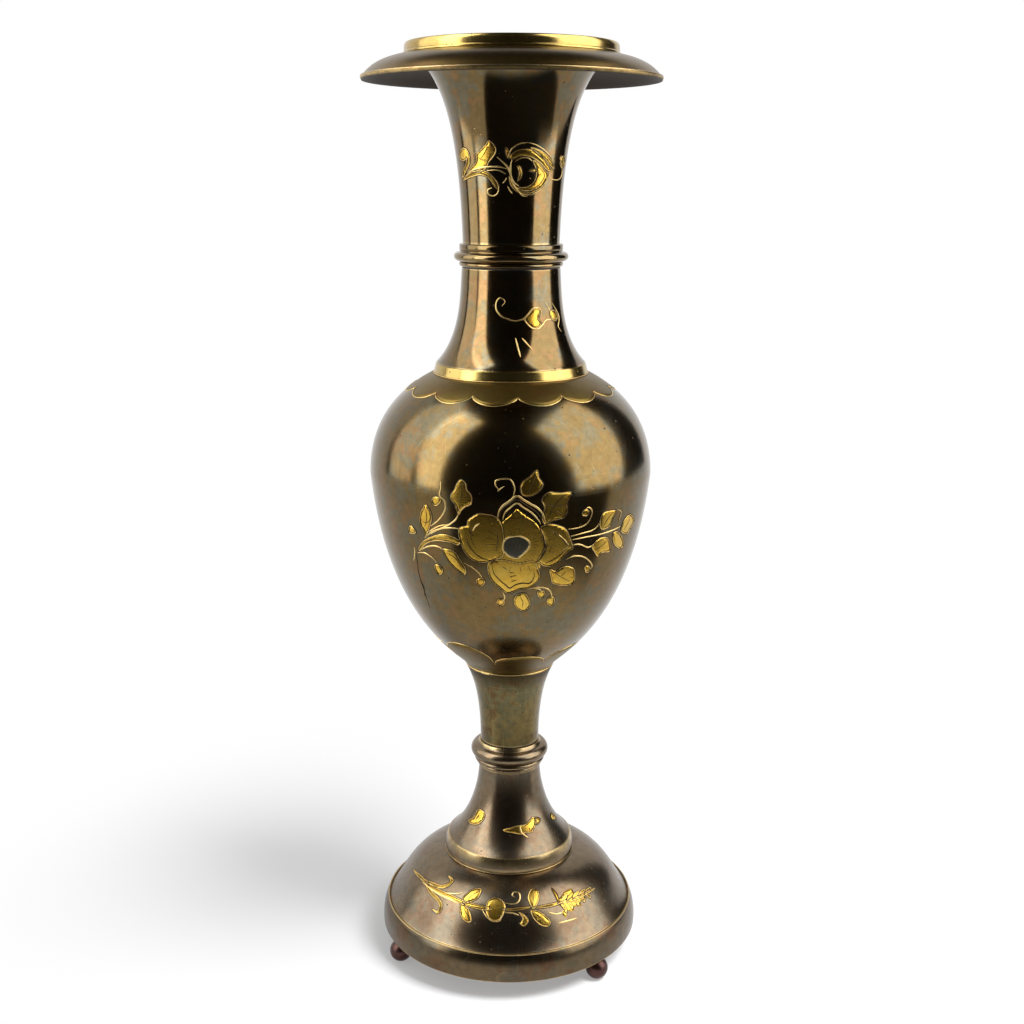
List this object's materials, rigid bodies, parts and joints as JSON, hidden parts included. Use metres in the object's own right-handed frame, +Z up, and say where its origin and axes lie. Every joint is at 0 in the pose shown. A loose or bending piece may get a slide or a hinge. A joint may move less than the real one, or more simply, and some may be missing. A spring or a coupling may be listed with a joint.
{
  "type": "footed brass flower vase",
  "caption": "Tall footed brass vase with an umbrella mouth flange, an ovoid bowl, engraved flowers and ball feet; its sections screw together.",
  "frame": {"origin": "on the floor, under the vase's axis", "axes": "+Z up along the vase's axis, -Y towards the viewer of the engraved front, +X to the viewer's right"},
  "size_m": [0.1878, 0.1878, 0.61],
  "materials": {
    "patina_brass": "dark bronze-black patina, semi-gloss, with faint olive and pink bloom and polished engraving",
    "brown_brass": "satin brown lacquered brass, worn bright at the edges",
    "gold_brass": "polished golden brass, lightly pitted",
    "inner_brass": "bare turned brass, dull",
    "ball_bronze": "dark red-brown patinated brass, glossy",
    "steel": "zinc plated steel, hidden inside the foot",
    "seal": "black rubber sealing washer"
  },
  "bodies": {
    "foot": {"ball_left": "ball_bronze", "ball_right": "ball_bronze", "ball_back": "ball_bronze", "foot_plate": "inner_brass", "base_band": "brown_brass", "base_dome": "brown_brass", "step_collar": "brown_brass", "lower_stem": "patina_brass", "knop": "patina_brass", "stem_socket": "inner_brass", "tie_rod": "steel", "tie_washer": "steel", "tie_nut": "steel"},
    "stem_washer": {"stem_seal": "seal"},
    "bowl_section": {"stem_spigot": "inner_brass", "upper_stem": "patina_brass", "bowl": "patina_brass", "shoulder_collar": "gold_brass", "lower_neck": "patina_brass", "neck_socket": "inner_brass"},
    "neck_washer": {"neck_seal": "seal"},
    "mouth_section": {"neck_spigot": "inner_brass", "neck_ring": "patina_brass", "upper_neck": "patina_brass", "mouth_flange": "brown_brass", "lip_ring": "gold_brass"}
  },
  "joints": [
    {"name": "stem_seal_rise", "type": "slide", "parent": "foot", "child": "stem_washer", "axis": [0, 0, 1], "range_m": [0, 0.012]},
    {"name": "bowl_turn", "type": "hinge", "parent": "stem_washer", "child": "bowl_section", "pos_m": [0, 0, 0.1498], "axis": [0, 0, 1], "range_deg": [0, 1440]},
    {"name": "neck_seal_rise", "type": "slide", "parent": "bowl_section", "child": "neck_washer", "axis": [0, 0, 1], "range_m": [0, 0.012]},
    {"name": "mouth_turn", "type": "hinge", "parent": "neck_washer", "child": "mouth_section", "pos_m": [0, 0, 0.474], "axis": [0, 0, 1], "range_deg": [0, 1440]}
  ],
  "couplings": [
    {"joint": "stem_seal_rise", "follows": "bowl_turn", "m_per_rad": 0.00047746},
    {"joint": "neck_seal_rise", "follows": "mouth_turn", "m_per_rad": 0.00047746}
  ]
}
